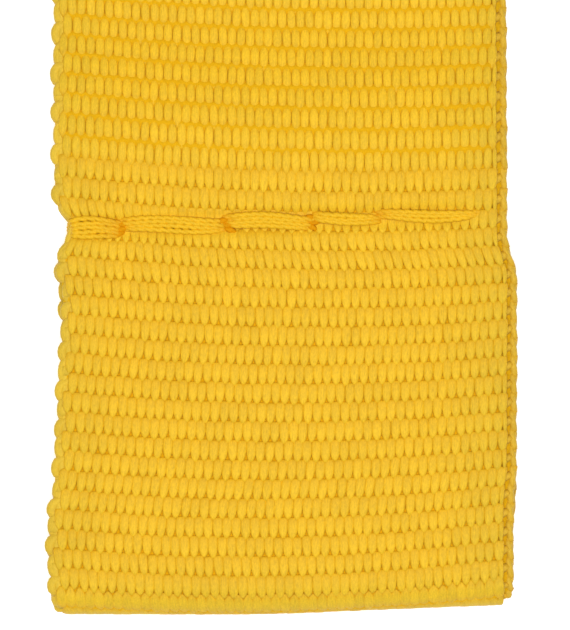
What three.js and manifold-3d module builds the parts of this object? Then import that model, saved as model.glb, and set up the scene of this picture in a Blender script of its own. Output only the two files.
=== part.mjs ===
// Martial arts belt: ribbed webbing 40 mm wide, both ends turned back and tacked with sewing thread.
// The tip lies flat and points to -Y, and the rest of the belt is rolled up on the flat stretch behind it.
// Millimetres, X across the belt, Y along the tail, Z up.
import * as THREE from "three";
import { mergeVertices } from "three/addons/utils/BufferGeometryUtils.js";
import Module from "manifold-3d";

const wasm = await Module();
wasm.setup();

// The belt
const beltLength = 2600; // finished length, from fold to fold
const beltWidth = 40; // over the lock cord
const webbingThickness = 2;
const lockCordWidth = 0.7;
const lockCordHeight = 0.8;
const clearance = 0.3; // between pieces and layers that touch

// The hem at each end
const hemLength = 34; // fold to seam
const rawEndMargin = 5.5; // seam to the flap's raw end
const drapeLength = 14; // the front layer's way down past the raw end

// How the belt is put away
const tailLength = 140; // tip to the point where the roll stands
const bendFromTip = 85; // where the free end bends
const rollFoot = 2; // flat length that belongs to the roll
const coreRadius = 8; // open middle of the roll
const stepsPerTurn = 24;

// The seam: thread across the front and the back, joined through the webbing at each stitch
const threadWidth = 1.6;
const threadHeight = 0.6;
const threadDepth = 0.1; // how far the thread lies under the webbing's face
const legWidth = 0.6;
const edgeWrapDepth = 0.6; // how far the edge is pulled in under the thread
const stitchPlaces = [-14.5, -5.3, 2.5, 8.3, 16.9]; // across the belt, from its middle
const seamTilt = THREE.MathUtils.degToRad(2);

const webbingColour = 0xeebb2e;
const threadColour = 0xf4b818;

const layerPitch = webbingThickness + clearance;
const stackHeight = layerPitch + webbingThickness;
const leftEdge = -beltWidth / 2;
const rightEdge = beltWidth / 2;
const webbingRight = rightEdge - lockCordWidth - clearance;
const foldRadius = layerPitch / 2;
const foldStart = foldRadius + webbingThickness / 2;
const flapLength = hemLength + rawEndMargin;
const fullTurn = 2 * Math.PI;
const flapTurn = flapLength / (coreRadius + layerPitch + webbingThickness / 2);

// The belt's middle line is a list of Vector2 in the plane of Y and Z.
const point = (y, z) => new THREE.Vector2(y, z);

// A half circle of middle line round a centre, from one angle to the next.
function foldPoints(centre, fromAngle, toAngle) {
  const steps = 8;
  return Array.from({ length: steps + 1 }, (_, i) => {
    const angle = THREE.MathUtils.lerp(fromAngle, toAngle, i / steps);
    return point(centre.x + foldRadius * Math.cos(angle), centre.y + foldRadius * Math.sin(angle));
  });
}

// The tip: flap, fold, front layer, and its way down to the surface behind the flap.
function tipLine() {
  const low = webbingThickness / 2;
  const high = low + layerPitch;
  const drapeStart = flapLength + clearance;
  const drapeSteps = 10;
  const drape = Array.from({ length: drapeSteps + 1 }, (_, i) => {
    const share = i / drapeSteps;
    const height = low + (layerPitch * (1 + Math.cos(Math.PI * share))) / 2;
    return point(drapeStart + share * drapeLength, height);
  });
  const foldCentre = point(foldStart, low + foldRadius);
  return [point(flapLength, low), ...foldPoints(foldCentre, -Math.PI / 2, -1.5 * Math.PI), ...drape];
}

// The roll's middle line grows by one layer in a turn. It climbs over the far hem, which is doubled, in the first.
function rollRadius(turn) {
  const climb = THREE.MathUtils.smoothstep(turn, flapTurn + 0.3, fullTurn - 0.3);
  return coreRadius + webbingThickness / 2 + layerPitch * (turn / fullTurn + climb);
}

function rollLength(endTurn) {
  const steps = 4000;
  let length = 0;
  for (let i = 0; i < steps; i += 1) {
    const middle = ((i + 0.5) * endTurn) / steps;
    length += (rollRadius(middle) * endTurn) / steps;
  }
  return length;
}

// The angle through which the rest of the belt's length winds up, found by halving.
function findEndTurn() {
  let low = fullTurn;
  let high = 200 * fullTurn;
  for (let i = 0; i < 60; i += 1) {
    const middle = (low + high) / 2;
    if (rollLength(middle) < beltLength - tailLength) low = middle;
    else high = middle;
  }
  return low;
}

const endTurn = findEndTurn();
const rollCentre = point(tailLength, webbingThickness / 2 + rollRadius(endTurn));

// A point of the roll at a turn counted from the far fold, moved out from the middle line by some millimetres.
function rollPoint(turn, out = 0) {
  const angle = endTurn - turn - Math.PI / 2;
  const radius = rollRadius(turn) + out;
  return point(rollCentre.x + radius * Math.cos(angle), rollCentre.y + radius * Math.sin(angle));
}

// From the tail into the roll, round the far fold and back along the far flap.
function rollLine() {
  const step = fullTurn / stepsPerTurn;
  const wound = [];
  for (let turn = endTurn; turn > step / 2; turn -= step) wound.push(rollPoint(turn));
  wound.push(rollPoint(0));
  const foldAngle = endTurn - Math.PI / 2;
  const fold = foldPoints(rollPoint(0, foldRadius), foldAngle + Math.PI, foldAngle + fullTurn);
  const flapSteps = Math.round(flapTurn / step);
  const flap = Array.from({ length: flapSteps }, (_, i) => rollPoint(((i + 1) * flapTurn) / flapSteps, layerPitch));
  return [...wound, ...fold.slice(1), ...flap];
}

// One strap, divided with a clearance at the bend and again where the roll begins.
const flatPoint = (y) => point(y, webbingThickness / 2);
const afterBend = flatPoint(bendFromTip + clearance / 2);
const tailLine = [...tipLine(), flatPoint(bendFromTip - clearance / 2)];
const middleLine = [afterBend, flatPoint(tailLength - rollFoot - clearance)];
const coilLine = [flatPoint(tailLength - rollFoot), ...rollLine()];

// A closed outline of one thickness round a middle line.
function outline(line, thickness) {
  const sides = [1, -1].map((side) =>
    line.map((here, i) => {
      const before = line[Math.max(i - 1, 0)];
      const after = line[Math.min(i + 1, line.length - 1)];
      const along = after.clone().sub(before).normalize();
      return point(here.x - (side * along.y * thickness) / 2, here.y + (side * along.x * thickness) / 2);
    }),
  );
  return [...sides[1], ...sides[0].reverse()];
}

// The object's origin is under the middle of its box, so every outline moves back by half the box's length.
const reach = new THREE.Box2().setFromPoints([
  ...outline(tailLine, webbingThickness),
  ...outline(coilLine, webbingThickness),
]);
const centreY = (reach.min.x + reach.max.x) / 2;
const acrossBelt = new THREE.Matrix4().makeBasis(
  new THREE.Vector3(0, 1, 0),
  new THREE.Vector3(0, 0, 1),
  new THREE.Vector3(1, 0, 0),
);

// A strip of one thickness along a middle line, from one X to another.
function strip(line, thickness, fromX, toX) {
  const shape = new THREE.Shape(outline(line, thickness));
  const geometry = new THREE.ExtrudeGeometry(shape, { depth: toX - fromX, bevelEnabled: false });
  return geometry.applyMatrix4(acrossBelt).translate(fromX, -centreY, 0);
}

function toSolid(geometry) {
  const bare = geometry.clone();
  bare.deleteAttribute("normal");
  bare.deleteAttribute("uv");
  const merged = mergeVertices(bare, 1e-4);
  const vertProperties = merged.getAttribute("position").array;
  return new wasm.Manifold(new wasm.Mesh({ numProp: 3, vertProperties, triVerts: merged.index.array }));
}

function toGeometry(solid) {
  const mesh = solid.getMesh();
  const geometry = new THREE.BufferGeometry();
  geometry.setAttribute("position", new THREE.BufferAttribute(mesh.vertProperties, 3));
  geometry.setIndex(new THREE.BufferAttribute(mesh.triVerts, 1));
  const flat = geometry.toNonIndexed();
  flat.computeVertexNormals();
  return flat;
}

// A box in a seam's own frame: X across the belt, Y along it, Z out of its front face.
function seamBox(place, fromX, toX, length, fromZ, toZ) {
  const geometry = new THREE.BoxGeometry(toX - fromX, length, toZ - fromZ);
  geometry.translate((fromX + toX) / 2, 0, (fromZ + toZ) / 2);
  return toSolid(geometry.applyMatrix4(place));
}

const face = stackHeight / 2;
const threadStart = leftEdge + edgeWrapDepth - clearance;
const threadEnd = Math.max(...stitchPlaces) + legWidth / 2;

// One thread: a run on the front, a run on the back, a turn round the left edge and a leg at each stitch.
function seamThread(place) {
  const top = face - threadDepth;
  const low = top - threadHeight;
  let thread = seamBox(place, threadStart, threadEnd, threadWidth, low, top);
  thread = thread.add(seamBox(place, threadStart, threadEnd, threadWidth, -top, -low));
  thread = thread.add(seamBox(place, threadStart, threadStart + legWidth, threadWidth, -top, top));
  for (const x of stitchPlaces) {
    thread = thread.add(seamBox(place, x - legWidth / 2, x + legWidth / 2, legWidth, -top, top));
  }
  return thread;
}

// The room that the thread needs in the webbing, with its clearance.
function seamRoom(place) {
  const outside = face + 1;
  const floor = face - threadDepth - threadHeight - clearance;
  const length = threadWidth + 2 * clearance;
  const endX = threadEnd + clearance;
  let room = seamBox(place, leftEdge - 1, endX, length, floor, outside);
  room = room.add(seamBox(place, leftEdge - 1, endX, length, -outside, -floor));
  const notchEnd = threadStart + legWidth + clearance;
  room = room.add(seamBox(place, leftEdge - 1, notchEnd, length, -outside, outside));
  const hole = legWidth / 2 + clearance;
  for (const x of stitchPlaces) room = room.add(seamBox(place, x - hole, x + hole, 2 * hole, -outside, outside));
  return room;
}

// The tip's seam lies level, and the far end's seam lies in the first turn of the roll.
const tilt = new THREE.Matrix4().makeRotationZ(seamTilt);
const tipSeamPlace = new THREE.Matrix4().makeTranslation(0, hemLength - centreY, stackHeight / 2).multiply(tilt);

function farSeamPlace() {
  const turn = hemLength / rollRadius(hemLength / (2 * coreRadius));
  const middle = rollPoint(turn, foldRadius);
  const angle = endTurn - turn;
  const place = new THREE.Matrix4().makeTranslation(0, middle.x - centreY, middle.y);
  return place.multiply(new THREE.Matrix4().makeRotationX(angle)).multiply(tilt);
}

const farPlace = farSeamPlace();

const material = (color, roughness) => new THREE.MeshStandardMaterial({ color, roughness, metalness: 0 });
const belt = new THREE.Group();

function addPiece(name, geometry, finish) {
  const piece = new THREE.Mesh(geometry, finish);
  piece.name = name;
  belt.add(piece);
}

const webbingFinish = material(webbingColour, 0.75);
const threadFinish = material(threadColour, 0.65);

const tailStrip = toSolid(strip(tailLine, webbingThickness, leftEdge, webbingRight));
const rollStrip = toSolid(strip(coilLine, webbingThickness, leftEdge, webbingRight));
addPiece("webbing_tail", toGeometry(tailStrip.subtract(seamRoom(tipSeamPlace))), webbingFinish);
addPiece("webbing_middle", strip(middleLine, webbingThickness, leftEdge, webbingRight), webbingFinish);
addPiece("webbing_roll", toGeometry(rollStrip.subtract(seamRoom(farPlace))), webbingFinish);

const cordLeft = rightEdge - lockCordWidth;
addPiece("lock_cord_tail", strip(tailLine, lockCordHeight, cordLeft, rightEdge), webbingFinish);
addPiece("lock_cord_roll", strip([afterBend, ...rollLine()], lockCordHeight, cordLeft, rightEdge), webbingFinish);

addPiece("tip_seam_thread", toGeometry(seamThread(tipSeamPlace)), threadFinish);
addPiece("far_seam_thread", toGeometry(seamThread(farPlace)), threadFinish);

export default belt;
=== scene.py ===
"""Finishes a martial arts belt: woven webbing, weft loops, lock cord, seam threads and a plain studio.

Every woven piece is first made flat, in the cloth's own frame: X across the belt, Y along its front face from
the tip's fold, Z out of the front face. It is then laid along the belt's route. Lengths are in metres.
"""

import math

import bpy
import numpy as np
from bpy.props import FloatProperty, FloatVectorProperty, IntProperty, PointerProperty
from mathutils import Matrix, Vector


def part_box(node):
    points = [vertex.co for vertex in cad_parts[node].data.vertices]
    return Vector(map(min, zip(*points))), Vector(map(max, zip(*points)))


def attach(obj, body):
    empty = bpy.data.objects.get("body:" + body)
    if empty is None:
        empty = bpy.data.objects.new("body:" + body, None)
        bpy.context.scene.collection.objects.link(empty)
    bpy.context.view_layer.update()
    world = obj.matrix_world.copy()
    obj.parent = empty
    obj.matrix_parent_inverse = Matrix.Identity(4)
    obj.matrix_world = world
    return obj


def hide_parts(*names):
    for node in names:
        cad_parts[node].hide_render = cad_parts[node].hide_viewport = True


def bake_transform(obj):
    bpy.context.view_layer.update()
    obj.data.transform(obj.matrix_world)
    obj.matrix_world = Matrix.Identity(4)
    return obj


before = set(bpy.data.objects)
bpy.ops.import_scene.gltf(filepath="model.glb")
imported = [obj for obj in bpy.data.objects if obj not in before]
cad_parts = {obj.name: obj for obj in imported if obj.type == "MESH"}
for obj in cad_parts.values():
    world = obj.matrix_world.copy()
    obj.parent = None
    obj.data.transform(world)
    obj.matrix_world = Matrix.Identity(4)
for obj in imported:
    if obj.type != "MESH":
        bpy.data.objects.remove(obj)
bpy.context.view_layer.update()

bl_info = {
    "name": "Martial Arts Belt",
    "version": (1, 0, 0),
    "blender": (4, 5, 0),
    "location": "3D View > Sidebar > Belt",
    "description": "Weaves a rolled martial arts belt with hemmed ends, seam threads and a studio",
    "category": "Object",
}

MM = 0.001
TAIL_LOW, TAIL_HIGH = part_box("webbing_tail")
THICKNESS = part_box("webbing_middle")[1].z
LAYER_PITCH = TAIL_HIGH.z - THICKNESS
LEFT = TAIL_LOW.x
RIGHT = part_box("lock_cord_tail")[1].x
TIP_Y = TAIL_LOW.y
SURFACE = THICKNESS / 2
SEED = 7


# Settings


def length_setting(name, description, default):
    return FloatProperty(name=name, description=description, default=default, unit="LENGTH", precision=5)


class BeltLay(bpy.types.PropertyGroup):
    """How long the belt is, how its ends are hemmed and how it is put away."""

    belt_length: length_setting("Belt length", "Finished length from fold to fold", 2.6)
    hem_length: length_setting("Hem length", "Fold to seam", 0.034)
    raw_end_margin: length_setting("Raw end margin", "Seam to the flap's raw end", 0.0055)
    drape_length: length_setting("Drape length", "The front layer's way down past the raw end", 0.014)
    tail_length: length_setting("Tail length", "Tip to the point where the roll stands", 0.14)
    core_radius: length_setting("Core radius", "Open middle of the roll", 0.008)
    seam_tilt: FloatProperty(
        name="Seam tilt", description="How far the seam turns from square", default=math.radians(2), subtype="ANGLE"
    )


class BeltWeave(bpy.types.PropertyGroup):
    """Sizes of the weave."""

    columns: IntProperty(name="Columns", description="Warp floats side by side in one row", default=47, min=8)
    row_pitch: length_setting("Row pitch", "One row to the next along the belt", 0.001807)
    hem_row_pitch: length_setting("Hem row pitch", "One row to the next in the hem, which is closer", 0.001681)
    row_bow: FloatProperty(name="Row bow", description="Curve of the rows, per metre", default=2.2)
    row_tilt: FloatProperty(name="Row tilt", description="Slope of the rows behind the seam", default=-0.0296)
    fold_tilt: FloatProperty(name="Fold tilt", description="Slope of the tip's fold", default=0.0225)
    float_height: length_setting("Float height", "Crest of a warp float over the core", 0.00034)
    thread_pitch: length_setting("Thread twist", "Length of one turn of the sewing thread's plies", 0.0015)


def colour_setting(name, description, default):
    return FloatVectorProperty(name=name, description=description, default=default, size=3, subtype="COLOR")


class BeltColours(bpy.types.PropertyGroup):
    """Colours of the yarns, and the painted shade colours of the hollows, the rim and the thread's dives."""

    yarn: colour_setting("Yarn", "Warp yarn", (0.695, 0.423, 0.009))
    # Painted shade: a deeper orange put on the yarn low between the floats and rows, where shade falls
    painted_shade: colour_setting("Painted Shade", "Yarn between the floats", (0.60, 0.305, 0.001))
    # Painted shade: a darker, more olive yarn colour along the belt's rim and at the tip's fold, where the surface
    # turns from the light
    rim_shade: colour_setting("Rim Shade", "Warp yarn along the belt's rim", (0.61, 0.395, 0.012))
    # Edge and Cord: the yellow yarn with the rim's painted shade, darker and more olive
    edge: colour_setting("Edge", "Weft loops", (0.60, 0.395, 0.024))
    cord: colour_setting("Cord", "Lock cord", (0.56, 0.345, 0.018))
    thread: colour_setting("Thread", "Sewing thread along the belt's face", (0.70, 0.405, 0.008))
    # Painted shade: a deeper orange for the thread where it dives into the webbing, and for the knots all over
    dive_shade: colour_setting("Dive Shade", "Sewing thread where it goes into the webbing", (0.60, 0.25, 0.001))


# The belt's route


def smoothstep(value, start, end):
    share = np.clip((np.asarray(value, float) - start) / (end - start), 0, 1)
    return share * share * (3 - 2 * share)


def bell(value, centre, width):
    return np.exp(-(((np.asarray(value, float) - centre) / width) ** 2))


class Route:
    """The webbing's middle line in Y and Z, from the tip's raw end to the far one.

    Lengths along it are those of the front face, and are zero at the tip.
    """

    STEP = 0.3 * MM
    CLIMB_MARGIN = 0.3  # radians left level at both ends of the first turn's climb over the far flap

    # How the edges leave their straight lines, in millimetres to the right, by the distance from the tip
    LEFT_SWAY = ((0.8, 25.5, 6.0), (0.25, 16.0, 5.0), (-0.45, 6.5, 4.5))  # size, middle, width
    RIGHT_SPREAD = ((0.2, 90.0, 60.0), (0.9, 32.8, 28.8), (-0.3, 13.0, 8.0))  # size, start, end
    CORNERS = (0.5 * MM, 0.15 * MM)  # how far a fold draws the left and right corners in
    CORNER_WIDTH = 1.1 * MM
    SEAM_PULL = 1.45 * MM  # how far the thread draws the left edge in
    SEAM_PULL_WIDTH = 1.5 * MM
    SEAM_PULL_REACH = 3.5 * MM
    FOLD_BULGE = (0.2 * MM, 0.36 * MM)  # the tip's fold: along its whole width, and more near its middle
    FOLD_BULGE_WIDTH = 2 * MM
    BOW_MIDDLE, BOW_WIDTH = -1.5 * MM, 12.5 * MM

    def __init__(self, lay):
        self.lay = lay
        self.fold_radius = LAYER_PITCH / 2
        self.fold_start = self.fold_radius + SURFACE
        self.flap = lay.hem_length + lay.raw_end_margin
        self.flap_turn = self.flap / (lay.core_radius + LAYER_PITCH + SURFACE)
        self.end_turn = self.find_end_turn()
        stretch = self.fold_start / self.fold_radius
        spans = [(self.tip_flap(), 1), (self.tip_fold(), stretch), (self.tail(), 1)]
        front = len(spans[0][0]) + len(spans[1][0])
        spans += [(self.wound(), 1), (self.far_fold(), stretch), (self.far_flap(), 1)]
        points = np.concatenate([line for line, _ in spans])
        stretches = np.concatenate([np.full(len(line), factor, float) for line, factor in spans])
        steps = np.linalg.norm(np.diff(points, axis=0), axis=1) * stretches[1:]
        along = np.concatenate([[0], np.cumsum(steps)])
        self.along = along - along[front] + self.fold_start
        self.points = points
        tangents = np.gradient(points, axis=0)
        self.tangents = tangents / np.linalg.norm(tangents, axis=1)[:, None]
        self.roll_start = self.along[front + len(spans[2][0])]
        self.far_tip = self.along[front + len(spans[2][0]) + len(spans[3][0])] + self.fold_start
        self.raw_start = self.along[0]
        self.raw_end = self.along[-1]
        self.flap_seam = self.along[0] + lay.raw_end_margin
        quarter = math.pi / 2 * self.fold_start
        self.apex = self.fold_start - quarter
        self.far_apex = self.far_tip - self.fold_start + quarter

    def line(self, start, end):
        count = max(2, round(math.dist(start, end) / self.STEP))
        shares = np.linspace(0, 1, count, endpoint=False)[:, None]
        return np.array(start) + shares * (np.array(end) - np.array(start))

    def half_circle(self, centre, start_angle, turn):
        angles = start_angle + turn * np.linspace(0, 1, 24, endpoint=False)
        return np.array(centre) + self.fold_radius * np.stack([np.cos(angles), np.sin(angles)], 1)

    def tip_flap(self):
        return self.line((self.flap, SURFACE), (self.fold_start, SURFACE))

    def tip_fold(self):
        centre = (self.fold_start, SURFACE + self.fold_radius)
        return self.half_circle(centre, -math.pi / 2, -math.pi)

    def tail(self):
        high = SURFACE + LAYER_PITCH
        drape_start = self.flap + LAYER_PITCH - THICKNESS
        drape_end = drape_start + self.lay.drape_length
        shares = np.linspace(0, 1, 48, endpoint=False)
        heights = SURFACE + LAYER_PITCH * (1 + np.cos(math.pi * shares)) / 2
        drape = np.stack([drape_start + shares * self.lay.drape_length, heights], 1)
        front = self.line((self.fold_start, high), (drape_start, high))
        flat = self.line((drape_end, SURFACE), (self.lay.tail_length, SURFACE))
        return np.concatenate([front, drape, flat])

    def radius(self, turn):
        climb = smoothstep(turn, self.flap_turn + self.CLIMB_MARGIN, math.tau - self.CLIMB_MARGIN)
        return self.lay.core_radius + SURFACE + LAYER_PITCH * (turn / math.tau + climb)

    def wound_length(self, end_turn):
        count = 4000
        middles = (np.arange(count) + 0.5) * end_turn / count
        return float(self.radius(middles).sum() * end_turn / count)

    def find_end_turn(self):
        """The roll's angle from its core to the floor, found by halving."""
        low, high = math.tau, 200 * math.tau
        wanted = self.lay.belt_length - self.lay.tail_length
        for _ in range(60):
            middle = (low + high) / 2
            low, high = (middle, high) if self.wound_length(middle) < wanted else (low, middle)
        return low

    def roll_points(self, turns, out=0.0):
        centre_z = SURFACE + float(self.radius(self.end_turn))
        angles = self.end_turn - turns - math.pi / 2
        radii = self.radius(turns) + out
        return np.stack([self.lay.tail_length + radii * np.cos(angles), centre_z + radii * np.sin(angles)], 1)

    def wound(self):
        count = round(self.wound_length(self.end_turn) / (2 * self.STEP))
        return self.roll_points(np.linspace(self.end_turn, 0, count, endpoint=False))

    def far_fold(self):
        centre = self.roll_points(np.array([0.0]), self.fold_radius)[0]
        return self.half_circle(centre, self.end_turn + math.pi / 2, math.pi)

    def far_flap(self):
        return self.roll_points(np.linspace(0, self.flap_turn, 120), LAYER_PITCH)

    def edges(self, along):
        """Where the left and right edges lie: the hem sways to the right and its tip spreads."""
        from_tip = np.abs(along)
        sway = (size * bell(from_tip, middle * MM, width * MM) for size, middle, width in self.LEFT_SWAY)
        left = LEFT + MM * sum(sway)
        spread = (size * smoothstep(from_tip, start * MM, end * MM) for size, start, end in self.RIGHT_SPREAD)
        right = RIGHT + MM * sum(spread)
        for apex in (self.apex, self.far_apex):
            corner = bell(along, apex, self.CORNER_WIDTH)
            left, right = left + self.CORNERS[0] * corner, right - self.CORNERS[1] * corner
        return left, right

    def seam_line(self, across, place):
        """The seam's place along the belt at a place across it. A flap's front face is seen from behind."""
        turned = 1 if place > 0 and place < self.lay.belt_length / 2 else -1
        return place + turned * math.tan(self.lay.seam_tilt) * across

    def lay_points(self, points):
        """Moves points from the cloth's own frame to their places in the belt."""
        across, along, out = np.asarray(points, float).T
        y, z = (np.interp(along, self.along, values) for values in self.points.T)
        ty, tz = (np.interp(along, self.along, values) for values in self.tangents.T)
        size = np.hypot(ty, tz)
        ty, tz = ty / size, tz / size
        left, right = self.edges(along)
        x = left + (across - LEFT) / (RIGHT - LEFT) * (right - left)
        reach = np.exp(-np.clip(across - LEFT, 0, None) / self.SEAM_PULL_REACH)
        for place in (self.lay.hem_length, self.flap_seam):
            x += self.SEAM_PULL * bell(along, self.seam_line(LEFT, place), self.SEAM_PULL_WIDTH) * reach
        square = np.clip(1 - np.abs(along - self.fold_start) / self.lay.hem_length, 0, 1)
        whole, more = self.FOLD_BULGE
        bulge = whole + more * bell(across, self.BOW_MIDDLE, self.BOW_WIDTH)
        y = y + bpy.context.scene.belt_weave.fold_tilt * across * square
        y = y - bulge * bell(along, self.apex, self.FOLD_BULGE_WIDTH)
        return np.stack([x, TIP_Y + y - tz * out, z + ty * out], 1)


# The weave's plan

PAST_SEAM = 4 * MM  # how far the hem's close rows and droplets go on behind the seam
FIRST_ROW = 1.15 * MM  # the hem's first row edge in front of the fold
FLOAT_MARGINS = (1.15 * MM, 0.95 * MM)  # from the left and right edges to the floats
FIRST_FLOATS = (0.36 * MM, 0.02 * MM)  # how far the first float of odd and even rows goes past its margin
FOLD_WIDTH = 2.2 * MM  # where a fold flattens the floats and spreads them


def row_shift(across, along, lay, weave):
    """How far a row lies from its place at the belt's middle: rows bow, and tilt towards the seam."""
    share = np.clip(along / lay.hem_length, -1, 1)
    bow = weave.row_bow * (1 + 0.4 * (1 - np.abs(share)))
    return weave.row_tilt * share * across + bow * across**2


def plan_rows(route, weave):
    """The middle and the pitch of every row, along the front face at the belt's middle."""
    first = FIRST_ROW
    hem_rows = math.floor((first - route.raw_start) / weave.hem_row_pitch)
    to_seam = round((route.lay.hem_length - first) / weave.hem_row_pitch)
    hem = first + weave.hem_row_pitch * np.arange(-hem_rows, to_seam + 1)
    body = np.arange(hem[-1] + weave.row_pitch, route.raw_end, weave.row_pitch)
    edges = np.concatenate([hem, body])
    return (edges[1:] + edges[:-1]) / 2, np.diff(edges)


class Plan:
    """The route, the rows and which stretches carry floats on each face."""

    VIEW_END = 58 * MM  # end of the finely made stretch at the tip
    OUTER_TURN = 276 * MM  # the roll's outer turn
    CORE_TURN = 62 * MM  # the roll's innermost turn
    HIDDEN = 8 * MM  # how far the floats go on under the roll
    FLAP_OVERLAP = 4 * MM  # how far the underside's floats start before the flap's raw end

    def __init__(self, scene):
        self.lay = scene.belt_lay
        self.weave = scene.belt_weave
        self.route = Route(self.lay)
        self.rows, self.pitches = plan_rows(self.route, self.weave)
        self.outer_end = self.route.roll_start + self.OUTER_TURN
        self.core_start = self.route.far_tip - self.CORE_TURN
        self.middle_end = self.route.roll_start + self.HIDDEN
        self.underside_start = self.route.flap - self.FLAP_OVERLAP
        self.front_spans = [(self.route.raw_start, self.middle_end), (self.core_start, self.route.raw_end)]
        self.back_spans = [(self.underside_start - MM, self.outer_end)]


def float_points(plan, start, end, side):
    """Points and sizes for the warp floats of the rows between two places, on the front (1) or the back (-1).

    Every row is half a float out of step with the last, and a narrow float fills its short end.
    """
    weave = plan.weave
    low, high = LEFT + FLOAT_MARGINS[0], RIGHT - FLOAT_MARGINS[1]
    pitch = (high - low) / (weave.columns + 0.5)
    chosen = np.flatnonzero((plan.rows >= start) & (plan.rows < end))
    columns = np.arange(weave.columns + 1)
    odd = (chosen % 2 == (0 if side > 0 else 1))[:, None]
    centres = low + np.where(odd, columns, columns + 0.5) * pitch
    starts = np.where(columns == 0, low - np.where(odd, *FIRST_FLOATS), centres - 0.5 * pitch)
    ends = np.where(columns == weave.columns, high, centres + 0.5 * pitch)
    across = (starts + ends) / 2
    middle = np.repeat(plan.rows[chosen][:, None], len(columns), 1)
    along = middle + row_shift(across, middle, plan.lay, weave)
    folds = (plan.route.apex, plan.route.far_apex)
    folded = np.maximum(*(bell(middle, apex, FOLD_WIDTH) for apex in folds))
    tall = weave.float_height * (1 - 0.6 * folded)
    points = np.stack([across, along, side * (SURFACE - tall)], -1).reshape(-1, 3)
    lengths = np.repeat(plan.pitches[chosen][:, None], len(columns), 1)
    return points, np.stack([(ends - starts) * (1 + 0.3 * folded), lengths, tall], -1).reshape(-1, 3)


# Mesh helpers


def mesh_object(name, points, faces, uv=None, depth=None):
    mesh = bpy.data.meshes.new(name)
    mesh.from_pydata([tuple(p) for p in points], [], faces)
    mesh.polygons.foreach_set("use_smooth", [True] * len(mesh.polygons))
    if uv is not None:
        layer = mesh.uv_layers.new(name="UVMap")
        corners = np.zeros(len(mesh.loops), np.int32)
        mesh.loops.foreach_get("vertex_index", corners)
        layer.data.foreach_set("uv", np.asarray(uv, np.float32)[corners].ravel())
    if depth is not None:
        attribute = mesh.attributes.new("depth", "FLOAT", "POINT")
        attribute.data.foreach_set("value", np.asarray(depth, np.float32))
    mesh.update()
    obj = bpy.data.objects.new(name, mesh)
    bpy.context.scene.collection.objects.link(obj)
    return obj


def tube_faces(rings, sides, first=0):
    """Quads of a tube of rings, with a cap at each end."""
    faces = []
    for ring in range(rings - 1):
        for side in range(sides):
            here, there = first + ring * sides, first + (ring + 1) * sides
            after = (side + 1) % sides
            faces.append((here + side, here + after, there + after, there + side))
    faces.append(tuple(first + side for side in reversed(range(sides))))
    faces.append(tuple(first + (rings - 1) * sides + side for side in range(sides)))
    return faces


def tube_points(path, radii, sides):
    """Rings round a path. Radii may be one number for each point."""
    path = np.asarray(path, float)
    radii = np.broadcast_to(radii, len(path))
    along = np.gradient(path, axis=0)
    along /= np.linalg.norm(along, axis=1)[:, None]
    up = np.tile([0.0, 0.0, 1.0], (len(path), 1))
    side = np.cross(along, up)
    short = np.linalg.norm(side, axis=1) < 1e-6
    side[short] = [1, 0, 0]
    side /= np.linalg.norm(side, axis=1)[:, None]
    up = np.cross(side, along)
    angles = np.arange(sides) * math.tau / sides
    ring = np.cos(angles)[None, :, None] * side[:, None, :] - np.sin(angles)[None, :, None] * up[:, None, :]
    return (path[:, None, :] + radii[:, None, None] * ring).reshape(-1, 3)


def remove_object(obj):
    data = obj.data
    bpy.data.objects.remove(obj)
    if isinstance(data, bpy.types.Mesh):
        bpy.data.meshes.remove(data)
    else:
        bpy.data.curves.remove(data)


def lay_piece(obj, plan):
    """Moves a flat piece's points to their places along the belt."""
    mesh = obj.data
    points = np.zeros(len(mesh.vertices) * 3)
    mesh.vertices.foreach_get("co", points)
    laid = plan.route.lay_points(press_seams(points.reshape(-1, 3), plan))
    laid[:, 2] = np.maximum(laid[:, 2], 0)
    mesh.vertices.foreach_set("co", laid.ravel())
    mesh.update()


SEAM_DENT = 0.42  # share of the thickness that the thread takes
SEAM_DENT_WIDTH = 1.0 * MM
SEAM_DENT_END = (18.5 * MM, 15 * MM)


def press_seams(points, plan):
    """Thins the webbing under each seam's thread."""
    points = points.copy()
    route = plan.route
    far = route.far_tip - route.lay.hem_length
    for place in (route.lay.hem_length, route.flap_seam, far):
        gap = points[:, 1] - route.seam_line(points[:, 0], place)
        dent = SEAM_DENT * smoothstep(points[:, 0], *SEAM_DENT_END)
        points[:, 2] *= 1 - dent * np.exp(-((gap / SEAM_DENT_WIDTH) ** 4))
    return points


# Geometry Nodes


def add_node(tree, kind, inputs=(), **settings):
    """A node with its settings. An input takes a value, a socket, or another node's first output."""
    node = tree.nodes.new(kind)
    for key, value in settings.items():
        setattr(node, key, value)
    for key, value in dict(inputs).items():
        if isinstance(value, bpy.types.Node):
            value = value.outputs[0]
        if isinstance(value, bpy.types.NodeSocket):
            tree.links.new(value, node.inputs[key])
        else:
            node.inputs[key].default_value = value
    return node


def calc(tree, operation, *values, vector=False):
    """A maths node, or a vector maths node."""
    kind = "ShaderNodeVectorMath" if vector else "ShaderNodeMath"
    return add_node(tree, kind, enumerate(values), operation=operation)


def new_tree(name, kind, inputs, outputs):
    """A node group with the named inputs and outputs, its input sockets and its output node."""
    tree = bpy.data.node_groups.new(name, kind)
    for way, sockets in (("INPUT", inputs), ("OUTPUT", outputs)):
        for socket_kind, labels in sockets.items():
            for label in labels:
                tree.interface.new_socket(label, in_out=way, socket_type=f"NodeSocket{socket_kind}")
    return tree, tree.nodes.new("NodeGroupInput").outputs, tree.nodes.new("NodeGroupOutput")


def store(tree, geometry, label, value, domain):
    """A node that keeps a value on geometry under a name."""
    values = {"Geometry": geometry, "Name": label, "Value": value}
    return add_node(tree, "GeometryNodeStoreNamedAttribute", values, data_type="FLOAT", domain=domain)


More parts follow.
